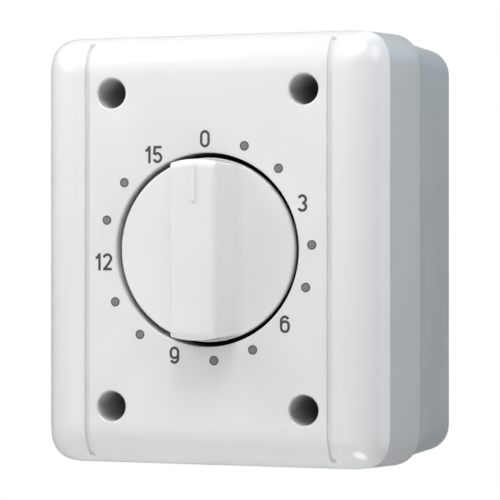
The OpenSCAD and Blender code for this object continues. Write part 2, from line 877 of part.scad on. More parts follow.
module second_wheel() {
  color([0.82, 0.67, 0.33]) from_wall() at(axis_1) {
    arbor();
    gear(main_module, pinion_teeth, dir_1 + 180 + 180 / pinion_teeth, main_z - 0.3 * level, 1.9 * level);
    difference() {
      gear(train_module, wheel_teeth, dir_2, second_z, wheel_t);
      arm_windows(arbor_r + rim_w, rim_in(train_module, wheel_teeth, rim_w), 5, rim_w, second_z, wheel_t);
    }
  }
}

module third_wheel() {
  color([0.82, 0.67, 0.33]) from_wall() at(axis_2) {
    arbor();
    gear(train_module, pinion_teeth, dir_2 + 180 + 180 / pinion_teeth, second_z - 0.3 * level, 1.6 * level);
    difference() {
      gear(train_module, third_teeth, dir_3, third_z, wheel_t);
      arm_windows(arbor_r + rim_w, rim_in(train_module, third_teeth, rim_w), 4, rim_w, third_z, wheel_t);
    }
  }
}

// Escape wheel: each tooth is given by four points, as an angle past the
// tooth and a share of the radius.
module escape_wheel() {
  tooth = [[0, 1], [3, 0.99], [5, 0.78], [18, 0.74]];
  color([0.82, 0.67, 0.33]) from_wall() at(axis_3) {
    arbor();
    gear(train_module, pinion_teeth, dir_3 + 180 + 180 / pinion_teeth, third_z - 0.4 * level, 1.8 * level);
    difference() {
      translate([0, 0, escape_z]) linear_extrude(escape_t) polygon([
        for (k = [0:escape_teeth - 1], e = tooth)
          let (a = 360 * k / escape_teeth + e[0]) escape_r * e[1] * [cos(a), sin(a)]
      ]);
      arm_windows(2 * arbor_r, escape_r * tooth[3][1] - arbor_r, 3, arbor_r, escape_z, escape_t);
    }
  }
}

// Pin-pallet lever with its weighted bar. The pins stand just clear of the
// escape wheel's teeth.
module pallet_lever() {
  pallet_gap = 0.35;
  pin_angle = 38;
  lever_r = 1.7;
  bar_half = 4.5;
  bar_w = 1.6;
  bar_z = plate_front + 1 * level;
  bar_t = 1.4 * level;
  low = escape_z - 1.6 * level;
  lever_t = 0.9 * level;
  reach = escape_r + pin_r + pallet_gap;
  color([0.68, 0.69, 0.71]) from_wall() {
    at(axis_4) {
      arbor();
      rod(lever_r, low, lever_t);
      translate([-bar_w / 2, -bar_half, bar_z]) cube([bar_w, 2 * bar_half, bar_t]);
      for (s = both) at([0, s * bar_half]) rod(bar_w, bar_z, bar_t);
    }
    for (s = both) {
      pin = axis_3 + reach * [cos(dir_4 + pin_angle * s), sin(dir_4 + pin_angle * s)];
      translate([0, 0, low]) linear_extrude(lever_t) {
        polygon([
          axis_4 + lever_r * [0.35, 0.8 * s], axis_4 - lever_r * [0.9, 0],
          pin - pin_r * [0, 1.9 * s], pin + pin_r * [0.75, 1.9 * s]
        ]);
        translate(pin) circle(2 * pin_r);
      }
      at(pin) rod(pin_r, low, escape_z + escape_t + 0.3 * level - low);
    }
  }
}

// Disc with one notch, at the angle middle.
module cam_track(middle, low) {
  translate([0, 0, low]) linear_extrude(track_t) difference() {
    circle(cam_r);
    difference() {
      sector(cam_r + over, middle, notch_half);
      circle(notch_r);
    }
  }
}

module switch_cam() {
  color([0.16, 0.16, 0.17]) from_wall() difference() {
    union() {
      rod(cam_hub_r, cam_z, cam_top - cam_z);
      cam_track(180, track_a);
      cam_track(0, track_b);
      translate([0, 0, tab_z]) linear_extrude(tab_t)
        sector(tab_out_r, 90 - stop_half - stop_play - tab_half, tab_half);
    }
    flatted_rod(spindle_r + fix_clear, spindle_flat + fix_clear, cam_z - over, cam_top - cam_z + 2 * over);
  }
}

module stop_pin() {
  color([0.72, 0.73, 0.75]) from_wall() at([0, stop_at]) {
    rod(stop_r, tab_z - stop_over, plate_z - tab_z + stop_over);
    rod(stop_r * shank_share, plate_z - stop_over, plate_t + stop_over);
  }
}

module contact_block() {
  root = block_floor - bite;
  leaf_back = leaf_x + leaf_t;
  fixed_back = fixed_x + fixed_t;
  color([0.2, 0.2, 0.22]) from_wall() difference() {
    union() {
      translate([0, 0, block_z]) linear_extrude(block_t) rounded_rect(block_hx, block_hy, block_corner_r);
      pair(post_x, post_y) rod(block_post_r, root, plate_z - root);
      for (p = poles) {
        s = p[0];
        top = p[1] + leaf_w / 2;
        side_box(s, 1, [leaf_back, clamp_y - leaf_seat_l, root],
          [leaf_back + leaf_seat_w, clamp_y - leaf_t, top]);
        side_box(s, 1, [leaf_x - leaf_lip_w, clamp_y - leaf_seat_l + leaf_lip_short, root],
          [leaf_x, clamp_y, top]);
        side_box(s, -1, [fixed_back, -fixed_end, root],
          [fixed_back + fixed_seat_w, clamp_y - fixed_seat_w, top]);
      }
      for (sx = both, sy = both, c = [-cheek_w - clamp_w / 2, clamp_w / 2])
        side_box(sx, sy, [clamp_x + c, clamp_y, root], [clamp_x + c + cheek_w, block_hy, cheek_top]);
    }
    drill(rear_pivot_r + run_clear, block_z, block_t);
    pair(post_x, post_y)
      rod(block_screw_r + fix_clear, plate_front - block_screw_l - bite, block_screw_l + bite);
  }
}

// Leaf of each pole: a sprung strip with a nose on the cam and a foot on its
// clamp. At rest the nose lies in the notch and the pole is open.
module moving_contacts() {
  color([0.78, 0.5, 0.3]) from_wall() for (p = poles) {
    s = p[0];
    low = p[1] - leaf_w / 2;
    side_box(s, 1, [leaf_x, leaf_free, low], [leaf_x + leaf_t, clamp_y, low + leaf_w]);
    side_box(s, 1, [leaf_x, clamp_y - leaf_t, foot_low], [leaf_x + leaf_foot_w, clamp_y, low + leaf_w]);
    at([s * nose_x, 0]) rod(nose_r, p[1] - track_t / 2, track_t);
  }
}

// Contact button of a pole, its face at x.
module tip(pole, x) {
  translate([pole[0] * x, tip_y, pole[1]]) rotate([0, 90, 0]) cylinder(r = tip_r, h = tip_t, center = true);
}

module moving_tips() {
  color([0.85, 0.85, 0.86]) from_wall() for (p = poles) tip(p, leaf_x + leaf_t + tip_t / 2);
}

module fixed_contacts() {
  color([0.82, 0.67, 0.33]) from_wall() for (p = poles) {
    s = p[0];
    low = p[1] - leaf_w / 2;
    side_box(s, -1, [fixed_x, -fixed_end, low], [fixed_x + fixed_t, clamp_y, low + leaf_w]);
    side_box(s, -1, [fixed_x, clamp_y - leaf_t, foot_low], [fixed_x + fixed_foot_w, clamp_y, low + leaf_w]);
  }
}

module fixed_tips() {
  color([0.85, 0.85, 0.86]) from_wall() for (p = poles) tip(p, fixed_x - tip_t / 2);
}

module terminals() {
  color([0.82, 0.67, 0.33]) from_wall() four(clamp_x, clamp_mid) difference() {
    translate([-clamp_w / 2, -clamp_l / 2, block_floor]) cube([clamp_w, clamp_l, clamp_h]);
    translate([0, clamp_l, wire_z]) rotate([90, 0, 0]) cylinder(r = wire_r, h = 2 * clamp_l);
    rod(clamp_screw_r + fix_clear, wire_z, clamp_h);
  }
}

module terminal_screws() {
  color([0.78, 0.79, 0.8]) from_wall() four(clamp_x, clamp_mid)
    pan_screw(clamp_screw_r, clamp_head_r, clamp_head_h, clamp_screw_l, block_floor + clamp_h);
}

front_cover();
base_housing();
cover_seal();
cover_screws();
screw_liners();
cable_grommet();
knob();
knob_clip();
spindle();
spindle_ring();
support_plate();
front_plate();
plate_pillars();
pillar_nuts();
plate_screws();
main_wheel();
ratchet_wheel();
click();
click_spring();
mainspring();
spring_post();
second_wheel();
third_wheel();
escape_wheel();
pallet_lever();
switch_cam();
stop_pin();
contact_block();
moving_contacts();
moving_tips();
fixed_contacts();
fixed_tips();
terminals();
terminal_screws();
block_screws();
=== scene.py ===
"""Clockwork timer switch: moulded cover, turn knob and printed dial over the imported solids."""

import json
import math

import bmesh
import bpy
import numpy as np
from mathutils import Matrix, Vector
from mathutils.geometry import delaunay_2d_cdt


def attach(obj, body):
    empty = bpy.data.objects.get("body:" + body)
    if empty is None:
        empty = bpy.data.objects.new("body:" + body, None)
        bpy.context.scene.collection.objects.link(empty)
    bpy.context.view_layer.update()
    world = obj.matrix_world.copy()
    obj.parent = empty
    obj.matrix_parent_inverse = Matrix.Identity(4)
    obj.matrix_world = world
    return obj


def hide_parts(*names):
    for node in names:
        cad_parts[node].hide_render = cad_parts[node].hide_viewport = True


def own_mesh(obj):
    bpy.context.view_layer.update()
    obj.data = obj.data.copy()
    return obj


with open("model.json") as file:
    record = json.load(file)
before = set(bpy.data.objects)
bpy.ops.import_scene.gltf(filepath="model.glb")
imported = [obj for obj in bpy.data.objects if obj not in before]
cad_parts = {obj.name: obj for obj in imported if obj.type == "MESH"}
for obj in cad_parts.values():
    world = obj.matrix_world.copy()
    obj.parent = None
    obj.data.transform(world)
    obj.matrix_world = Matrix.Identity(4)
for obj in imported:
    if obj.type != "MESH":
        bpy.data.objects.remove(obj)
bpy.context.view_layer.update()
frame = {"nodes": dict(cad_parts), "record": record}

# Sizes in millimetres, in the frame of the wall: x to the right, y up, z out from the wall.
MM = 0.001

# Cover: the flat front rolls over to a crease, and the sides flare from there to the rear edge.
FRONT = 48.5
REAR = 25.5
FLAT_X = 25.15
FLAT_Y = 31.6
ROLL_R = 8.0
ROLL_END = 73.0  # degrees of roll from the front to the crease
ROLL_CROWD = 1.5  # power that crowds the points of the roll towards the flat front
FLARE = 0.95
FLARE_AT_LIP = 0.98  # share of the flare where the rounding of the rear edge begins
WALL = 2.0
CORNER_POWER = 3.0  # 2 gives a round corner in plan, and more a squarer one
REAR_LIP = 0.25
COVER_SHARP = 12.0  # degrees between faces from which an edge stays sharp, as for the knob, pointer and ink

# The two fine grooves down the front.
GROOVE_X = 23.2
GROOVE_W = 0.95
GROOVE_DEEP = 0.65
GROOVE_SOFT = 0.06
GROOVE_FLOOR = 0.3  # share of the width, each way from the middle, that the floor's points take
GROOVE_END = 38.0
GROOVE_FADE = 2.0  # degrees of roll before its end in which a groove runs out
GROOVE_PAST = 0.5  # degrees of roll that the run-out goes past the end

# Deep screw holes with their liners, and the opening for the knob.
TUBE_X = 18.4
TUBE_Y = 28.55
TUBE_R = 2.8
TUBE_OUT = 4.2
TUBE_FOOT = 28.5
TUBE_NECK = 3.04  # radius at the ceiling, so that the tube's root stays inside the flat
TUBE_SLOPE = 0.6  # height in which the tube narrows to its neck
TUBES = [(x, y) for x in (-TUBE_X, TUBE_X) for y in (-TUBE_Y, TUBE_Y)]
HOLE_STEPS = 64  # points round a hole
SEAT_Z = 31.0
SCREW_R = 1.8
HOLE_RIM = 0.35
LINER_R = 2.7
LINER_WALL = 0.07
DIAL_R = 17.5
DIAL_RIM = 0.3
COLLAR_R = 19.2
COLLAR_FOOT = 42.8

# Knob: a disc with a skirt, and a grip bar right across it whose ends run down to the rim.
KNOB_R = 16.62
SKIRT_R = 15.7
SKIRT_FOOT = 43.2
SKIRT_WALL = 1.6
DISC_Z = 48.15
DISC_T = 1.35
DISC_RIM = 0.5
KNOB_SHARP = 14.0
HUB_R = 4.5
HUB_FOOT = 43.0
BORE_R = 3.03
BORE_END = 47.9
GRIP_Z = 55.6
GRIP_HALF = 4.15
GRIP_SPREAD = 2.45
GRIP_END = 16.1
GRIP_END_SPREAD = 0.35
GRIP_ROUND = 1.0
GRIP_END_ROUND = 1.6
GRIP_CORNER = 0.5
GRIP_FOOT = 1.05
GRIP_ROOT = 1.0
POINTER_W = 1.25
POINTER_H = 0.3
POINTER_Y = 8.6
POINTER_ROUND = 0.12
POINTER_ROOT = 0.3
POINTER_PAST = 0.25
POINTER_SHARP = 30.0

# Dial: sixteen places of 22 degrees each, a number at every third and a dot at the others.
PLACES = 16
NUMBER_EVERY = 3
MARK_RING = 20.0
MARK_STEP = 22.02
MARK_START = -0.55
DOT_R = 0.86
DOT_EDGE = 0.02
DOT_EDGE_T = 0.5  # share of the ink's thickness at a dot's edge
DOT_BEAD = 0.2
BEAD_T = 1.5  # thickness of the bead round a dot, in thicknesses of the ink
INK_T = 0.012
INK_LAYER = 0.1  # strokes that cross lie this share of the thickness apart, so that no faces coincide
INK_SHARP = 40.0
DIGIT_H = 3.15
DIGIT_W = 1.9
DIGIT_LINE = 0.49
DIGIT_GAP = 0.34
CAP_TALL = 1.15  # height of a round top in half widths of the digit
ONE_W = 1.1

# Camera: its turn to the right and its tilt, its place from the dial's middle, and its lens.
VIEW_TURN = math.radians(19.0)
VIEW_TILT = math.radians(-0.052)
VIEW_AWAY = 420.315
VIEW_RIGHT = 7.942
VIEW_UP = -0.042
SENSOR = 36.0
LENS = 168.07
NEAREST = 0.01  # metres

# Floor: radii of its rings, and its middle as a distance out from the wall and down from the switch's middle.
FLOOR_RINGS = (0.0, 60.0, 120.0, 170.0)
FLOOR_OUT = 25.0
FLOOR_DOWN = 180.0
FLOOR_GLOW = 0.55  # share of plain white that the camera sees in the paper

# Light: what the lamps aim at, the even light, the dim room that mirrors show, and the edge of the white
# backdrop in it as the cosine of the angle from the line of sight.
AIM_OUT = 30.0
AMBIENT = 0.06
ROOM = 0.15
BACKDROP_EDGE = 0.97


def camera_of_the_photo():
    """Camera 19 degrees to the right of the dial at its own height, 42 cm away, with a long lens."""
    level = math.cos(VIEW_TILT)
    back = Vector((math.sin(VIEW_TURN) * level, -math.cos(VIEW_TURN) * level, math.sin(VIEW_TILT)))
    right = Vector((math.cos(VIEW_TURN), math.sin(VIEW_TURN), 0.0))
    over = back.cross(right)
    place = (back * VIEW_AWAY + right * VIEW_RIGHT + over * VIEW_UP + Vector((0.0, -FRONT, 0.0))) * MM
    lens = bpy.data.cameras.new("photo_camera")
    lens.sensor_width = SENSOR
    lens.lens = LENS
    lens.clip_start = NEAREST
    camera = bpy.data.objects.new("photo_camera", lens)
    axes = Matrix((right, over, back)).transposed().to_4x4()
    camera.matrix_world = Matrix.Translation(place) @ axes
    bpy.context.scene.collection.objects.link(camera)
    bpy.context.scene.camera = camera


camera_of_the_photo()


def grid(points, wrap=False):
    """Sheet of quads over rows x columns x 3 points; wrap joins the last column to the first."""
    rows, columns = points.shape[:2]
    row = np.arange(rows - 1)[:, None] * columns
    here = np.arange(columns if wrap else columns - 1)[None, :]
    beside = (here + 1) % columns
    quads = np.stack([row + here, row + beside, row + columns + beside, row + columns + here], -1)
    return points.reshape(-1, 3), quads.reshape(-1, 4), False


def ring(x, y, r, count):
    """Points round a circle, as whole arrays of cosine and sine."""
    turn = np.arange(count) * 2.0 * np.pi / count
    return np.stack([x + r * np.cos(turn), y + r * np.sin(turn)], -1)


def once(loop):
    """Loop without the points that it repeats at its corners."""
    least = 1e-9
    return loop[np.abs(loop - np.roll(loop, 1, 0)).sum(-1) > least]


def flat_sheet(z, outer, holes=()):
    """Flat sheet at height z, inside the outer loop and outside the loops of the holes.

    The loops are edges of a triangulation, and triangles whose middle lies in a hole are left out."""
    inside_loops, least, in_hole = 1, 1e-6, 0.999
    loops = [outer, *holes]
    points = np.concatenate(loops)
    ends = np.cumsum([len(loop) for loop in loops])
    onward = np.arange(1, len(points) + 1)
    onward[ends - 1] = ends - [len(loop) for loop in loops]
    edges = np.stack([np.arange(len(points)), onward], -1).tolist()
    flat = delaunay_2d_cdt(list(map(Vector, points.tolist())), edges, [], inside_loops, least)
    points = np.array(flat[0])
    faces = np.array(flat[2])
    middle = points[faces].mean(1)
    keep = np.ones(len(faces), bool)
    for hole in holes:
        centre = hole.mean(0)
        keep &= np.hypot(*(middle - centre).T) > np.hypot(*(hole[0] - centre)) * in_hole
    return np.column_stack([points, np.full(len(points), z)]), faces[keep], True


def lathe(profile, x=0.0, y=0.0, count=96):
    """Turned form: each point (r, z) of the profile is carried round the axis through x, y."""
    r, z = np.asarray(profile, float).T
    turn = np.arange(count) * 2.0 * np.pi / count
    points = np.empty((len(r), count, 3))
    points[..., 0] = x + r[:, None] * np.cos(turn)
    points[..., 1] = y + r[:, None] * np.sin(turn)
    points[..., 2] = z[:, None]
    return grid(points, wrap=True)


def sweep(loop, aim, reach, z):
    """Profile carried round a loop: each point goes out from the loop along its aim by reach, at height z.

    Reach and z have a row for each point of the profile, and a column for each point of the loop or one."""
    reach = np.broadcast_to(reach, (len(reach), len(loop)))
    points = np.empty((*reach.shape, 3))
    points[..., :2] = loop + aim * reach[..., None]
    points[..., 2] = z
    return grid(points, wrap=True)


def arc(r, z, radius, start, stop, steps):
    """Points (r, z) on part of a circle of that radius, angles in degrees from the outward direction."""
    turn = np.radians(np.linspace(start, stop, steps))
    return np.stack([r + radius * np.cos(turn), z + radius * np.sin(turn)], -1)


def ease(t):
    """Smooth step: three t squared less two t cubed, level at 0 and at 1."""
    t = np.clip(t, 0.0, 1.0)
    return t * t * (3.0 - 2.0 * t)


def piece(name, sheets, body, material, sharp=COVER_SHARP):
    """One object from several sheets in wall millimetres, with edges welded and faces turned outwards.

    Flat sheets are shaded flat, and the others smoothly up to the sharp angle."""
    weld = 2e-7
    starts = np.cumsum([0] + [len(points) for points, _, _ in sheets])
    places = np.concatenate([points for points, _, _ in sheets])
    faces = [f for start, (_, sheet, _) in zip(starts, sheets) for f in (sheet + start).tolist()]
    mesh = bpy.data.meshes.new(name)
    mesh.from_pydata((places[:, [0, 2, 1]] * [MM, -MM, MM]).tolist(), [], faces)
    smooth = np.concatenate([np.full(len(sheet), not flat) for _, sheet, flat in sheets])
    mesh.polygons.foreach_set("use_smooth", smooth)
    shell = bmesh.new()
    shell.from_mesh(mesh)
    bmesh.ops.remove_doubles(shell, verts=shell.verts, dist=weld)
    bmesh.ops.recalc_face_normals(shell, faces=shell.faces)
    shell.to_mesh(mesh)
    shell.free()
    mesh.set_sharp_from_angle(angle=math.radians(sharp))
    obj = bpy.data.objects.new(name, mesh)
    bpy.context.scene.collection.objects.link(obj)
    mesh.materials.append(material)
    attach(obj, body)
    return obj


def linear(code):
    """Linear colour of an sRGB hex value, by the two stretches of the standard's own curve."""
    parts = [int(code[i:i + 2], 16) / 255.0 for i in (1, 3, 5)]
    return (*[c / 12.92 if c <= 0.04045 else ((c + 0.055) / 1.055) ** 2.4 for c in parts], 1.0)


def add(tree, kind, links=None, **settings):
    """Node of a kind with its settings; links gives sockets, by name or number, a value or an output."""
    node = tree.nodes.new(kind)
    for key, value in settings.items():
        setattr(node, key, value)
    for key, value in (links or {}).items():
        if isinstance(value, bpy.types.NodeSocket):
            tree.links.new(value, node.inputs[key])
        else:
            node.inputs[key].default_value = value
    return node


def shaded(name, **sockets):
    """New material with these sockets of its Principled surface, its tree, shader and Object coordinates."""
    material = bpy.data.materials.new(name)
    material.use_nodes = True
    tree = material.node_tree
    shader = tree.nodes["Principled BSDF"]
    for key, value in sockets.items():
        shader.inputs[key].default_value = value
    place = add(tree, "ShaderNodeTexCoord").outputs["Object"]
    return material, tree, shader, place


def mottled(surface, tones, cloud, gloss, grain, relief):
    """Cloudy colour between two tones, roughness between two values, and a fine bump.

    Cloud and grain are the sizes of the two patterns in mm, and relief is the height of the bump in mm."""
    material, tree, shader, place = surface
    low, high = 0.3, 0.7  # the noise lies almost wholly between these
    cloud_detail, grain_detail = 3.0, 2.0
    clouds = add(tree, "ShaderNodeTexNoise",
                 {"Vector": place, "Scale": 1.0 / (cloud * MM), "Detail": cloud_detail})
    colour = add(tree, "ShaderNodeValToRGB", {"Fac": clouds.outputs["Fac"]})
    for stop, at, tone in zip(colour.color_ramp.elements, (low, high), tones):
        stop.position = at
        stop.color = linear(tone)
    tree.links.new(colour.outputs["Color"], shader.inputs["Base Color"])
    polish = add(tree, "ShaderNodeMapRange",
                 {"Value": clouds.outputs["Fac"], "From Min": low, "From Max": high,
                  "To Min": gloss[0], "To Max": gloss[1]})
    tree.links.new(polish.outputs["Result"], shader.inputs["Roughness"])
    skin = add(tree, "ShaderNodeTexNoise",
               {"Vector": place, "Scale": 1.0 / (grain * MM), "Detail": grain_detail})
    bump = add(tree, "ShaderNodeBump",
               {"Height": skin.outputs["Fac"], "Distance": relief * MM, "Strength": 1.0})
    tree.links.new(bump.outputs["Normal"], shader.inputs["Normal"])
    return material


def gloss_abs():
    """White ABS from a polished mould: an even, bright white with a clear but soft mirror of the lights,
    and the faint ripple that the shrinking plastic leaves."""
    surface = shaded("gloss_moulded_white_abs", IOR=1.5)
    return mottled(surface, tones=("#e2e2e2", "#e5e5e5"), cloud=14.0, gloss=(0.14, 0.18),
                   grain=5.0, relief=0.002)


def satin_abs():
    """Pale grey ABS from an eroded mould: a satin skin with a fine grain, drawn a little coarser than the
    real 0.1 mm so that it shows."""
    surface = shaded("satin_moulded_grey_abs", IOR=1.5)
    return mottled(surface, tones=("#bec1c3", "#c4c7c9"), cloud=9.0, gloss=(0.36, 0.44),
                   grain=0.35, relief=0.006)


def dial_ink():
    """Pad-printed dark grey ink: thin, matt, with slightly uneven cover."""
    surface = shaded("pad_printed_grey_ink", IOR=1.5)
    return mottled(surface, tones=("#3f3e40", "#4a494c"), cloud=0.6, gloss=(0.45, 0.6),
                   grain=0.2, relief=0.001)


def dot_ink():
    """Pad-printed mid grey ink inside the dots: the same matt film, thinner than at their edge."""
    surface = shaded("pad_printed_dot_ink", IOR=1.5)
    return mottled(surface, tones=("#767577", "#7e7d80"), cloud=0.5, gloss=(0.45, 0.6),
                   grain=0.2, relief=0.001)


def black_rubber():
    """Moulded EPDM rubber: near black, dull, with a powdery bloom."""
    surface = shaded("moulded_epdm_rubber", IOR=1.5)
    return mottled(surface, tones=("#161617", "#242426"), cloud=2.5, gloss=(0.6, 0.8),
                   grain=0.4, relief=0.01)


def black_phenolic():
    """Moulded phenolic resin: brown-black, with a low polish and a fine filler grain."""
    surface = shaded("moulded_black_phenolic", IOR=1.6)
    return mottled(surface, tones=("#151312", "#241f1c"), cloud=0.8, gloss=(0.3, 0.45),
                   grain=0.3, relief=0.004)


def grey_nylon():
    """Moulded glass-filled nylon: pale grey and dull, with the haze of the fibres near its skin. Its grey is
    partly painted shade: it darkens the deep screw holes that the sleeves line.
    """
    surface = shaded("grey_nylon_with_painted_hole_shade", IOR=1.53)
    return mottled(surface, tones=("#c6c6c6", "#cfcfcf"), cloud=1.2, gloss=(0.45, 0.6),
                   grain=0.3, relief=0.004)


def black_steel():
    """Chemically blackened steel sheet: near black with an oily, low sheen. Its black is partly painted
    shade: it darkens the gap round the knob, through which the plate shows.
    """
    surface = shaded("blackened_steel_painted_gap_shade", Metallic=1.0)
    return mottled(surface, tones=("#1c1c1e", "#29292b"), cloud=2.0, gloss=(0.4, 0.55),
                   grain=0.25, relief=0.002)


def zinc_steel():
    """Zinc-plated steel: bright bluish grey with cloudy passivation."""
    surface = shaded("zinc_plated_steel", Metallic=1.0)
    return mottled(surface, tones=("#a9acb0", "#bfc1c4"), cloud=1.6, gloss=(0.25, 0.4),
                   grain=0.25, relief=0.003)


def blued_steel():
    """Hardened and blued spring strip: dark blue-grey with a straw tint where the heat was less."""
    surface = shaded("blued_spring_steel", Metallic=1.0)
    return mottled(surface, tones=("#3d4452", "#5a5750"), cloud=3.0, gloss=(0.2, 0.32),
                   grain=0.3, relief=0.002)


def turned_steel():
    """Turned and polished steel: light grey with fine tool marks."""
    surface = shaded("turned_steel", Metallic=1.0)
    return mottled(surface, tones=("#b3b4b6", "#c4c4c5"), cloud=1.2, gloss=(0.16, 0.28),
                   grain=0.12, relief=0.002)


def stamped_brass():
    """Stamped brass sheet: warm yellow with a light tarnish."""
    surface = shaded("stamped_brass", Metallic=1.0)
    return mottled(surface, tones=("#c29a4e", "#d4b067"), cloud=2.2, gloss=(0.2, 0.34),
                   grain=0.2, relief=0.002)


def rolled_bronze():
    """Rolled phosphor bronze strip: reddish brown, fairly bright."""
    surface = shaded("rolled_phosphor_bronze", Metallic=1.0)
    return mottled(surface, tones=("#a8734a", "#bd8a60"), cloud=1.8, gloss=(0.2, 0.34),
                   grain=0.2, relief=0.002)


def contact_silver():
    """Pressed fine silver: very light and soft, with a faint grey tarnish."""
    surface = shaded("pressed_fine_silver", Metallic=1.0)
    return mottled(surface, tones=("#cfcfcb", "#dededc"), cloud=0.7, gloss=(0.18, 0.3),
                   grain=0.15, relief=0.001)


white_abs = gloss_abs()
finish = {
    "cover_plastic": white_abs,
    "knob_plastic": white_abs,
    "base_plastic": satin_abs(),
    "rubber": black_rubber(),
    "screw_steel": zinc_steel(),
    "spring_steel": blued_steel(),
    "turned_steel": turned_steel(),
    "plate_steel": zinc_steel(),
    # blackened plate behind the knob: its black is partly painted shade in the gap round the knob
    "black_steel": black_steel(),
    # grey sleeves in the screw holes: their grey is partly painted shade in the holes
    "liner_plastic": grey_nylon(),
    "brass": stamped_brass(),
    "bronze": rolled_bronze(),
    "silver": contact_silver(),
    "insulator": black_phenolic(),
}
for part in frame["record"]["subparts"]:
    solid = frame["nodes"][part["node"]]
    solid.data.materials.clear()
    solid.data.materials.append(finish[part["material_slot"]])


def groove_depth(x):
    """Depth of the two fine grooves across the cover: full in the middle, with eased flanks."""
    off = np.abs(np.abs(x) - GROOVE_X)
    return GROOVE_DEEP * ease((GROOVE_W / 2 + GROOVE_SOFT - off) / (2 * GROOVE_SOFT))


def front_points():
    """Points that the sheets of the cover's front share: across a groove, along the field between the
    grooves, and up the straight sides."""
    flank_steps, floor_steps, field_steps, row_steps = 9, 3, 11, 9
    flank = np.linspace(-GROOVE_SOFT, GROOVE_SOFT, flank_steps)
    floor = np.linspace(-GROOVE_FLOOR, GROOVE_FLOOR, floor_steps) * GROOVE_W
    across = np.concatenate([flank - GROOVE_W / 2, floor, flank + GROOVE_W / 2])
    field = GROOVE_X - (GROOVE_W / 2 + GROOVE_SOFT)
    return across, np.linspace(-field, field, field_steps), np.linspace(-FLAT_Y, FLAT_Y, row_steps)


def cover_loop():
    """Loop round the flat front, and how each of its points aims outwards in plan.

    Straight stretches aim straight out, and at a corner the tips of the aims lie on a superellipse."""
    fan_steps = 33
    across, edge, rows = front_points()
    columns = np.concatenate([[-FLAT_X], across - GROOVE_X, edge[1:-1], across + GROOVE_X, [FLAT_X]])
    fan = np.radians(np.linspace(0.0, 90.0, fan_steps))[1:-1]
    bend = np.stack([np.cos(fan), np.sin(fan)], -1)
    bend /= (np.abs(bend) ** CORNER_POWER).sum(-1, keepdims=True) ** (1.0 / CORNER_POWER)
    side = np.stack([np.full(len(rows), FLAT_X), rows], -1)
    head = np.stack([columns[::-1], np.full(len(columns), FLAT_Y)], -1)
    corner = np.broadcast_to([FLAT_X, FLAT_Y], bend.shape)
    loop = np.concatenate([side, corner, head, corner[::-1] * [-1, 1]])
    aim = np.concatenate([np.broadcast_to([1.0, 0.0], side.shape), bend,
                          np.broadcast_to([0.0, 1.0], head.shape), bend[::-1] * [-1, 1]])
    return np.concatenate([loop, -loop]), np.concatenate([aim, -aim])


def cover_sides(loop, aim):
    """Sides of the cover, carried round the loop: the roll is part of a circle, less the depth of the
    grooves that run out on it. From its crease the side flares to the rear edge, and the inside is the roll
    one wall in."""
    roll_steps, run_out_steps, side_steps, lip_steps, inner_steps = 30, 6, 6, 5, 13
    stop = math.degrees(math.asin((GROOVE_END - FLAT_Y) / ROLL_R))
    turn = np.concatenate([ROLL_END * np.linspace(0.0, 1.0, roll_steps) ** ROLL_CROWD,
                           stop + np.linspace(-GROOVE_FADE, GROOVE_PAST, run_out_steps)])
    turn = np.radians(np.sort(turn))[:, None]
    fade = 1.0 - ease((np.degrees(turn) - stop + GROOVE_FADE) / (GROOVE_FADE + GROOVE_PAST))
    cut = np.where(aim[:, 0] == 0.0, groove_depth(loop[:, 0]), 0.0)
    bent = ROLL_R - cut * fade
    core = FRONT - ROLL_R
    skin = sweep(loop, aim, bent * np.sin(turn), core + bent * np.cos(turn))

    crease = ROLL_R * math.sin(math.radians(ROLL_END))
    crease_z = core + ROLL_R * math.cos(math.radians(ROLL_END))
    back = crease + FLARE - WALL
    fall = np.linspace(0.0, 1.0, side_steps)[1:, None]
    lip = arc(crease + FLARE - REAR_LIP, REAR + REAR_LIP, REAR_LIP, 0.0, -90.0, lip_steps)
    flank = sweep(
        loop, aim,
        np.concatenate([[[crease]], crease + fall * FLARE * FLARE_AT_LIP, lip[1:, :1], [[back]]]),
        np.concatenate([[[crease_z]], crease_z + fall * (lip[0, 1] - crease_z), lip[1:, 1:], [[REAR]]]))

    inner = ROLL_R - WALL
    inner_turn = np.radians(np.linspace(ROLL_END, 0.0, inner_steps))[:, None]
    inside = sweep(loop, aim, np.concatenate([[[back]], inner * np.sin(inner_turn)]),
                   np.concatenate([[[REAR]], core + inner * np.cos(inner_turn)]))
    return [skin, flank, inside]


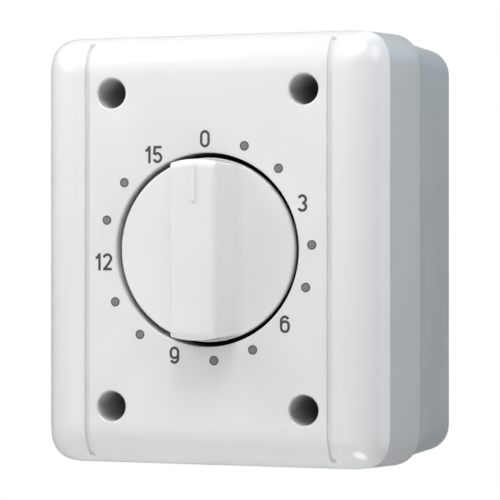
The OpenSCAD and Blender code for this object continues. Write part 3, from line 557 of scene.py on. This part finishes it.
def cover_front(loop):
    """Front of the cover: a flat field with five holes, the two bars with the grooves beside it, the
    ceiling behind them, and the turned linings of the holes, each with a quarter round at its mouth."""
    dial_steps, dial_rim_steps, hole_rim_steps = 192, 8, 7
    across, edge, rows = front_points()
    bars = []
    for hand in (-1.0, 1.0):
        x = hand * np.append(across + GROOVE_X, FLAT_X)
        points = np.empty((len(rows), len(x), 3))
        points[..., 0] = x
        points[..., 1] = rows[:, None]
        points[..., 2] = FRONT - groove_depth(x)
        bars.append(grid(points))

    field = np.concatenate([
        np.stack([np.full(len(rows), edge[-1]), rows], -1),
        np.stack([edge[::-1], np.full(len(edge), FLAT_Y)], -1)[1:-1],
        np.stack([np.full(len(rows), edge[0]), rows[::-1]], -1),
        np.stack([edge, np.full(len(edge), -FLAT_Y)], -1)[1:-1],
    ])
    ceiling = FRONT - WALL
    fore = flat_sheet(FRONT, field, [ring(0.0, 0.0, DIAL_R + DIAL_RIM, dial_steps)]
                      + [ring(x, y, TUBE_R + HOLE_RIM, HOLE_STEPS) for x, y in TUBES])
    aft = flat_sheet(ceiling, once(loop), [ring(0.0, 0.0, COLLAR_R, dial_steps)]
                     + [ring(x, y, TUBE_NECK, HOLE_STEPS) for x, y in TUBES])

    collar = lathe(np.concatenate([
        arc(DIAL_R + DIAL_RIM, FRONT - DIAL_RIM, DIAL_RIM, 90.0, 180.0, dial_rim_steps),
        [[DIAL_R, COLLAR_FOOT], [COLLAR_R, COLLAR_FOOT], [COLLAR_R, ceiling]],
    ]), count=dial_steps)
    well = np.concatenate([
        arc(TUBE_R + HOLE_RIM, FRONT - HOLE_RIM, HOLE_RIM, 90.0, 180.0, hole_rim_steps),
        [[TUBE_R, SEAT_Z], [SCREW_R, SEAT_Z], [SCREW_R, TUBE_FOOT], [TUBE_OUT, TUBE_FOOT],
         [TUBE_OUT, ceiling - TUBE_SLOPE], [TUBE_NECK, ceiling]],
    ])
    wells = [lathe(well, x, y, HOLE_STEPS) for x, y in TUBES]
    return [fore, aft, collar, *bars, *wells]


def cover_shell():
    """Moulded cover: its sides and its front, joined along the loop round the flat."""
    loop, aim = cover_loop()
    sheets = cover_sides(loop, aim) + cover_front(loop)
    cover = piece("cover_shell", sheets, "housing", white_abs)
    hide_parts("front_cover")


def tube_liners():
    """Thin sleeves in the screw holes, each a rectangle turned about the hole's axis; their grey is partly
    painted shade that darkens the holes.
    """
    outer, top = LINER_R + LINER_WALL, FRONT - HOLE_RIM
    sleeve = [[LINER_R, SEAT_Z], [outer, SEAT_Z], [outer, top], [LINER_R, top], [LINER_R, SEAT_Z]]
    sheets = [lathe(sleeve, x, y, HOLE_STEPS) for x, y in TUBES]
    liners = piece("tube_liners", sheets, "housing", finish["liner_plastic"])
    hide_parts("screw_liners")


def grip_loop(half, end, corner):
    """Plan of the grip: a strip of that half width, cut off by a circle of the end radius, corners rounded.

    The half width and the end radius may have a column for every point of the loop: straight side, corner,
    end, corner, and the same turned half round. Returns the points and how far each one faces sideways, as
    the square of the cosine of its direction."""
    sides, corners, ends = 9, 10, 17
    kind = np.repeat([0, 1, 2, 3], [sides, corners, ends, corners])
    part = np.concatenate([np.linspace(-1.0, 1.0, sides), np.linspace(0.0, 1.0, corners + 2)[1:-1],
                           np.linspace(0.0, 1.0, ends), np.linspace(1.0, 0.0, corners + 2)[1:-1]])
    kind, part = np.tile(kind, 2), np.tile(part, 2)
    hand = np.repeat([1.0, -1.0], len(kind) // 2)
    x = half - corner
    y = np.sqrt((end - corner) ** 2 - x ** 2)
    cut = np.arctan2(y, x)
    on_side, on_end, on_last_corner = kind == 0, kind == 2, kind == 3
    turn = np.where(on_end, cut + (np.pi - 2.0 * cut) * part, np.where(on_side, 0.0, cut * part))
    across = np.where(on_end, end * np.cos(turn), x + corner * np.cos(turn))
    along = np.where(on_end, end * np.sin(turn), np.where(on_side, y * part, y + corner * np.sin(turn)))
    across = np.where(on_last_corner, -across, across)
    return np.stack([across * hand, along * hand], -1), np.cos(turn) ** 2


def disc_height(r):
    """Height of the disc's face at a radius: level, then down the quarter round of its rim."""
    past = np.clip(r - KNOB_R + DISC_RIM, 0.0, DISC_RIM)
    return DISC_Z - DISC_RIM + np.sqrt(DISC_RIM ** 2 - past ** 2)


def knob_disc():
    """Disc of the knob, turned about its axis: a level face, a quarter round at the rim, a set-back skirt
    and a hub with the bore for the spindle."""
    disc_steps, rim_steps = 240, 13
    back = DISC_Z - DISC_T
    return lathe(np.concatenate([
        [[0.0, DISC_Z]],
        arc(KNOB_R - DISC_RIM, DISC_Z - DISC_RIM, DISC_RIM, 90.0, 0.0, rim_steps),
        [[KNOB_R, back], [SKIRT_R, back], [SKIRT_R, SKIRT_FOOT],
         [SKIRT_R - SKIRT_WALL, SKIRT_FOOT], [SKIRT_R - SKIRT_WALL, back],
         [HUB_R, back], [HUB_R, HUB_FOOT], [BORE_R, HUB_FOOT], [BORE_R, BORE_END], [0.0, BORE_END]],
    ]), count=disc_steps)


def grip_edge(size, spread, radius):
    """Lean of a face of the grip, and how far its level top reaches: to where the round of the edge begins,
    which is the radius times the tangent of half the turn inside the face."""
    lean = math.atan2(spread, GRIP_Z - DISC_Z)
    return lean, size - radius * math.tan((math.pi / 2 - lean) / 2)


def knob_grip():
    """Grip of the knob, as levels of its plan: the top edge is rounded, the sides lean outwards to a hollow
    on the disc, and the ends lean outwards to its rim."""
    edge_steps, side_steps, foot_steps = 11, 6, 9
    lean_side, top_half = grip_edge(GRIP_HALF, GRIP_SPREAD, GRIP_ROUND)
    lean_end, top_end = grip_edge(GRIP_END, GRIP_END_SPREAD, GRIP_END_ROUND)
    plan, sideways = grip_loop(GRIP_HALF + GRIP_SPREAD, GRIP_END + GRIP_END_SPREAD, GRIP_CORNER)
    base = disc_height(np.hypot(*plan.T))
    lean = lean_end + (lean_side - lean_end) * sideways
    hollow = GRIP_FOOT * sideways

    bend = np.linspace(0.0, 1.0, edge_steps)[:, None]
    bend_side = bend * (np.pi / 2 - lean_side)
    bend_end = bend * (np.pi / 2 - lean_end)
    edge_half = top_half + GRIP_ROUND * np.sin(bend_side)
    edge_end = top_end + GRIP_END_ROUND * np.sin(bend_end)
    edge_z = GRIP_Z - (sideways * GRIP_ROUND * (1.0 - np.cos(bend_side))
                       + (1.0 - sideways) * GRIP_END_ROUND * (1.0 - np.cos(bend_end)))
    drop = edge_z[-1] - base - hollow * (1.0 - np.sin(lean))
    fall = np.linspace(0.0, 1.0, side_steps)[1:, None] * drop
    swing = np.linspace(1.0, 0.0, foot_steps)[1:, None] * (np.pi / 2 - lean)
    foot = hollow * (np.cos(lean) - np.sin(swing))

    half = np.concatenate([np.broadcast_to(edge_half, edge_z.shape),
                           edge_half[-1] + fall * math.tan(lean_side)])
    half = np.concatenate([half, half[-1] + foot, half[-1:] + foot[-1:]])
    end = np.concatenate([np.broadcast_to(edge_end, edge_z.shape),
                          edge_end[-1] + fall * math.tan(lean_end)])
    end = np.concatenate([end, np.broadcast_to(end[-1], (len(half) - len(end), len(plan)))])
    height = np.concatenate([edge_z, edge_z[-1] - fall, base + hollow * (1.0 - np.cos(swing)),
                             np.full((1, len(plan)), DISC_Z - GRIP_ROOT)])
    levels = np.empty((*height.shape, 3))
    levels[..., :2] = grip_loop(half, end, GRIP_CORNER)[0]
    levels[..., 2] = height
    crown = flat_sheet(GRIP_Z, once(levels[0, :, :2]))
    sole = flat_sheet(DISC_Z - GRIP_ROOT, once(levels[-1, :, :2]))
    return [grid(levels, wrap=True), crown, sole]


def knob_body():
    """Turn knob: the grip stands in the disc, with its root below the disc's face."""
    sheets = [knob_disc(), *knob_grip()]
    knob = piece("knob_body", sheets, "spindle_set", white_abs, KNOB_SHARP)
    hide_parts("knob")


def pointer_rib():
    """Raised pointer on the grip: a profile with a rounded top edge, carried round a bar whose inner end is
    a half circle and whose outer end lies just past the level top of the grip."""
    bow_steps, rise_steps, edge_steps = 17, 6, 6
    _, top_end = grip_edge(GRIP_END, GRIP_END_SPREAD, GRIP_END_ROUND)
    bow = np.radians(np.linspace(180.0, 360.0, bow_steps))
    width = POINTER_W / 2 - POINTER_ROUND
    rise = np.linspace(POINTER_Y + width, top_end + POINTER_PAST, rise_steps)
    rail = np.concatenate([
        np.stack([np.full(rise_steps, width), rise], -1),
        np.stack([np.full(rise_steps, -width), rise[::-1]], -1),
        np.stack([width * np.cos(bow), POINTER_Y + width + width * np.sin(bow)], -1)[1:-1],
    ])
    out = np.concatenate([
        np.broadcast_to([1.0, 0.0], (rise_steps, 2)), np.broadcast_to([-1.0, 0.0], (rise_steps, 2)),
        np.stack([np.cos(bow), np.sin(bow)], -1)[1:-1],
    ])
    curl = np.radians(np.linspace(0.0, 90.0, edge_steps))[:, None]
    side = sweep(rail, out, np.concatenate([POINTER_ROUND * np.sin(curl), [[POINTER_ROUND]]]),
                 np.concatenate([GRIP_Z + POINTER_H - POINTER_ROUND * (1.0 - np.cos(curl)),
                                 [[GRIP_Z - POINTER_ROOT]]]))
    top = flat_sheet(GRIP_Z + POINTER_H, rail)
    sole = flat_sheet(GRIP_Z - POINTER_ROOT, rail + out * POINTER_ROUND)
    piece("pointer_rib", [side, top, sole], "spindle_set", white_abs, POINTER_SHARP)


def line_of_ink(path, z, width, closed=False):
    """Printed line: a flat bar of ink of one width, carried along a path in plan, from just inside the
    cover up to z."""
    step = np.gradient(path, axis=0)
    if closed:
        step = np.roll(path, -1, 0) - np.roll(path, 1, 0)
    step /= np.linalg.norm(step, axis=-1, keepdims=True)
    out = step[:, ::-1] * [1.0, -1.0] * width / 2
    bar = np.empty((4, len(path), 3))
    bar[[0, 3], :, :2] = path - out
    bar[[1, 2], :, :2] = path + out
    bar[[0, 1], :, 2] = z
    bar[[2, 3], :, 2] = FRONT - INK_T
    tube = np.concatenate([bar, bar[:1]])
    if closed:
        return [grid(tube, wrap=True)]
    cap = np.arange(len(bar))[None, :]
    return [grid(tube), (bar[:, 0], cap, True), (bar[:, -1], cap, True)]


def bow_path(x, y, rx, ry, start, stop, count=24):
    """Points on part of an ellipse, angles in degrees from the right, anticlockwise."""
    turn = np.radians(np.linspace(start, stop, count))
    return np.stack([x + rx * np.cos(turn), y + ry * np.sin(turn)], -1)


def digit_lines(digit):
    """Centre lines of a narrow sans serif digit about its own middle, each with whether it is closed, and
    the digit's width. Round stretches are parts of ellipses, with angles in degrees."""
    w = DIGIT_W / 2 - DIGIT_LINE / 2
    h = DIGIT_H / 2 - DIGIT_LINE / 2
    top = h + DIGIT_LINE / 2
    cap = w * CAP_TALL
    if digit == "0":
        loop = np.concatenate([bow_path(0, h - cap, w, cap, start=0, stop=180),
                               bow_path(0, cap - h, w, cap, start=180, stop=360)])
        return [(loop, True)], DIGIT_W
    if digit == "1":
        stem_x, flag_x, flag_up, flag_wide, flag_tall, flag_steps = 0.28, -0.5, 0.3, 0.72, 0.92, 12
        stem = np.array([[stem_x, -top], [stem_x, 0.0], [stem_x, top]])
        flag = bow_path(flag_x, h + flag_up, flag_wide, flag_tall, start=270, stop=345, count=flag_steps)
        return [(stem, False), (flag, False)], ONE_W
    if digit == "2":
        fall_in, fall_bow, foot_left, foot_right, fall_steps = 0.06, 0.1, 0.12, 0.16, 14
        head = bow_path(0, h - w, w, w, start=168, stop=-20)
        slope = np.linspace(0.0, 1.0, fall_steps)[1:, None]
        fall = head[-1] + (np.array([-w + fall_in, -h]) - head[-1]) * slope
        fall[:, 0] += fall_bow * np.sin(slope[:, 0] * np.pi)
        foot = np.array([[-w - foot_left, -h], [0.0, -h], [w + foot_right, -h]])
        return [(np.concatenate([head, fall]), False), (foot, False)], DIGIT_W
    if digit == "3":
        upper_wide = 0.94
        upper = bow_path(0, h / 2, w * upper_wide, h / 2, start=160, stop=-90)
        lower = bow_path(0, -h / 2, w, h / 2, start=90, stop=-160)
        return [(upper, False), (lower, False)], DIGIT_W
    if digit == "5":
        bar_past, bar_left, stem_top, stem_foot, stem_low, bowl_tall = 0.1, 0.8, 0.72, 0.9, -0.02, 0.58
        bar = np.array([[w + bar_past, h], [0.0, h], [-w * bar_left, h]])
        stem = np.array([[-w * stem_top, top], [-w * bar_left, h / 2], [-w * stem_foot, stem_low]])
        bowl = bow_path(0, h * (bowl_tall - 1.0), w, h * bowl_tall, start=142, stop=-158)
        return [(bar, False), (stem, False), (bowl, False)], DIGIT_W
    bowl_y, bowl_foot, bowl_head, stem_low = -0.14, w * 1.05, w * 0.9, 0.4
    bowl = np.concatenate([bow_path(0, bowl_foot - h, w, bowl_foot, start=180, stop=360),
                           bow_path(0, bowl_y, w, bowl_head, start=0, stop=180)])
    stem = np.concatenate([np.array([[-w, -h * stem_low], [-w, 0.0]]),
                           bow_path(0, h - cap, w, cap, start=180, stop=28)])
    lines = [(bowl, True), (stem, False)]
    if digit == "9":
        lines = [(-path, closed) for path, closed in lines]
    return lines, DIGIT_W


def dial_print():
    """Printed dial: numbers upright on a ring round the knob at every third place, and dots between them,
    each with a darker bead of ink round its edge."""
    dot_steps = 40
    numbers, dots = [], []
    film, under = FRONT + INK_T, FRONT - INK_T
    for minute in range(PLACES):
        turn = math.radians(MARK_START + minute * MARK_STEP)
        x = MARK_RING * math.sin(turn)
        y = MARK_RING * math.cos(turn)
        if minute % NUMBER_EVERY:
            dot = [[0.0, film], [DOT_R - DOT_EDGE, film], [DOT_R, FRONT + INK_T * DOT_EDGE_T],
                   [DOT_R, under], [0.0, under]]
            dots.append(lathe(dot, x, y, dot_steps))
            bead = ring(x, y, DOT_R - DOT_BEAD / 2, dot_steps)
            numbers += line_of_ink(bead, FRONT + INK_T * BEAD_T, DOT_BEAD, closed=True)
            continue
        drawn = [digit_lines(digit) for digit in str(minute)]
        wide = sum(width for _, width in drawn) + DIGIT_GAP * (len(drawn) - 1)
        at = x - wide / 2
        layer = 1.0
        for lines, width in drawn:
            for path, closed in lines:
                middle = [at + width / 2, y]
                numbers += line_of_ink(path + middle, FRONT + INK_T * layer, DIGIT_LINE, closed)
                layer += INK_LAYER
            at += width + DIGIT_GAP
    piece("dial_numbers", numbers, "housing", dial_ink(), INK_SHARP)
    piece("dial_dots", dots, "housing", dot_ink(), INK_SHARP)


def lifted_contacts(node, slot):
    """The two poles of a contact node, left and right, as copies of the solid's triangles, each with a mesh
    of its own. In the switch the cam lifts both out of its notches, and each one gives way outwards, from the
    cam towards the end of its foot, as the knob turns; the copies keep the places that the solid has."""
    solid = frame["nodes"][node]
    points = np.empty(3 * len(solid.data.vertices))
    solid.data.vertices.foreach_get("co", points)
    points = points.reshape(-1, 3)[:, [0, 2, 1]] * [1.0, 1.0, -1.0] / MM
    corners = np.empty(len(solid.data.loops), int)
    solid.data.loops.foreach_get("vertex_index", corners)
    corners = corners.reshape(-1, 3)
    for side, hand in (("left", -1.0), ("right", 1.0)):
        own = corners[points[corners[:, 0], 0] * hand > 0.0]
        used, faces = np.unique(own, return_inverse=True)
        sheet = points[used], faces.reshape(own.shape), True
        pole = piece(side + "_" + node, [sheet], "housing", finish[slot])
        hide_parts(node)
        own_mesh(pole)


cover_shell()
tube_liners()
knob_body()
pointer_rib()
dial_print()
lifted_contacts("moving_contacts", "bronze")
lifted_contacts("moving_tips", "silver")


def studio_floor():
    """Plain pale floor below the switch: a turned disc, white to the camera but for the shadow on it."""
    material = bpy.data.materials.new("pale_paper_floor")
    material.use_nodes = True
    tree = material.node_tree
    tree.nodes.clear()
    path = add(tree, "ShaderNodeLightPath")
    paper = add(tree, "ShaderNodeBsdfDiffuse", {"Color": linear("#f2f2f2")})
    glow = add(tree, "ShaderNodeEmission", {"Color": (1.0, 1.0, 1.0, 1.0), "Strength": 1.0})
    share = add(tree, "ShaderNodeMath", {0: path.outputs["Is Camera Ray"], 1: FLOOR_GLOW},
                operation="MULTIPLY")
    both = add(tree, "ShaderNodeMixShader",
               {0: share.outputs["Value"], 1: paper.outputs["BSDF"], 2: glow.outputs["Emission"]})
    add(tree, "ShaderNodeOutputMaterial", {"Surface": both.outputs["Shader"]})
    points, faces, _ = lathe([[r, 0.0] for r in FLOOR_RINGS])
    points = (points + [0.0, -FLOOR_OUT, -FLOOR_DOWN]) * MM
    mesh = bpy.data.meshes.new("studio_floor")
    mesh.from_pydata(points.tolist(), [], faces.tolist())
    mesh.materials.append(material)
    floor = bpy.data.objects.new("studio_floor", mesh)
    bpy.context.scene.collection.objects.link(floor)


def studio_world():
    """White backdrop for the camera, which mirrors show only along its own line of sight, with the rest of
    the room dimmer; an even grey light on everything."""
    world = bpy.data.worlds.new("studio_world")
    bpy.context.scene.world = world
    world.use_nodes = True
    tree = world.node_tree
    path = add(tree, "ShaderNodeLightPath")
    toward = add(tree, "ShaderNodeTexCoord").outputs["Generated"]
    ahead = (-math.sin(VIEW_TURN), math.cos(VIEW_TURN), 0.0)
    facing = add(tree, "ShaderNodeVectorMath", {0: toward, 1: ahead}, operation="DOT_PRODUCT")
    backdrop = add(tree, "ShaderNodeMapRange",
                   {"Value": facing.outputs["Value"], "From Min": BACKDROP_EDGE, "From Max": 1.0,
                    "To Min": ROOM, "To Max": 1.0}, interpolation_type="SMOOTHSTEP")
    mirror = add(tree, "ShaderNodeMath",
                 {0: path.outputs["Is Glossy Ray"], 1: path.outputs["Is Transmission Ray"]},
                 operation="MAXIMUM")
    shown = add(tree, "ShaderNodeMath", {0: mirror.outputs["Value"], 1: backdrop.outputs["Result"]},
                operation="MULTIPLY")
    seen = add(tree, "ShaderNodeMath", {0: shown.outputs["Value"], 1: path.outputs["Is Camera Ray"]},
               operation="MAXIMUM")
    level = add(tree, "ShaderNodeMapRange",
                {"Value": seen.outputs["Value"], "To Min": AMBIENT, "To Max": 1.0})
    tree.links.new(level.outputs["Result"], tree.nodes["Background"].inputs["Strength"])
    tree.nodes["Background"].inputs["Color"].default_value = (1.0, 1.0, 1.0, 1.0)


def round_lamp(name, side, height, away, width, watts, tint="#ffffff", diffuse=True, glossy=True):
    """Round soft lamp aimed at the switch: side and height are degrees as seen from the switch, to the
    right and up, and its distance and width are metres.

    A lamp may give only its light, or only its highlight in glossy surfaces."""
    lamp = bpy.data.lights.new(name, "AREA")
    lamp.shape = "DISK"
    lamp.size = width
    lamp.energy = watts
    lamp.color = linear(tint)[:3]
    obj = bpy.data.objects.new(name, lamp)
    turn = math.radians(side)
    rise = math.radians(height)
    back = Vector((math.sin(turn) * math.cos(rise), -math.cos(turn) * math.cos(rise), math.sin(rise)))
    obj.visible_camera = False
    obj.visible_diffuse = diffuse
    obj.visible_glossy = glossy
    place = Vector((0.0, -AIM_OUT * MM, 0.0)) + back * away
    obj.matrix_world = Matrix.Translation(place) @ back.to_track_quat("Z", "Y").to_matrix().to_4x4()
    bpy.context.scene.collection.objects.link(obj)


studio_floor()
studio_world()
# Soft light from below and from the front.
round_lamp("low_lamp", side=0.0, height=-60.0, away=0.6, width=1.0, watts=1.9)
round_lamp("low_right_lamp", side=30.0, height=-50.0, away=0.6, width=1.0, watts=2.2, tint="#f4f9ff")
round_lamp("low_left_lamp", side=-60.0, height=-30.0, away=0.9, width=0.5, watts=0.84)
round_lamp("front_left_lamp", side=-30.0, height=-15.0, away=0.9, width=0.5, watts=0.63)
round_lamp("front_lamp", side=0.0, height=20.0, away=0.9, width=0.5, watts=1.0, glossy=False)
round_lamp("floor_lamp", side=0.0, height=-75.0, away=0.15, width=0.15, watts=0.012)
# Light from the right and from above.
round_lamp("right_lamp", side=80.0, height=30.0, away=0.9, width=0.5, watts=2.05, tint="#fffafc")
round_lamp("high_right_lamp", side=100.0, height=45.0, away=0.4, width=0.3, watts=0.19, tint="#aef1ff")
round_lamp("back_right_lamp", side=150.0, height=25.0, away=0.9, width=0.5, watts=0.28, tint="#8fd0ff")
round_lamp("high_lamp", side=20.0, height=60.0, away=0.35, width=0.25, watts=0.71)
# Smaller lamps on the left.
round_lamp("left_lamp", side=-60.0, height=30.0, away=0.4, width=0.25, watts=0.36)
round_lamp("high_left_lamp", side=-55.0, height=45.0, away=0.3, width=0.2, watts=0.2)
round_lamp("far_left_lamp", side=-80.0, height=40.0, away=0.35, width=0.2, watts=0.17)
# A lamp behind the switch, and cards that only show as highlights.
round_lamp("wall_lamp", side=190.0, height=5.0, away=0.9, width=0.6, watts=3.7, glossy=False)
round_lamp("right_card", side=118.0, height=0.0, away=0.8, width=0.8, watts=2.1, diffuse=False)
round_lamp("top_card", side=161.0, height=60.0, away=0.7, width=0.5, watts=0.75, diffuse=False)
round_lamp("corner_card", side=45.0, height=-68.0, away=0.15, width=0.05, watts=0.035, diffuse=False)
bpy.context.scene.view_settings.view_transform = "Standard"
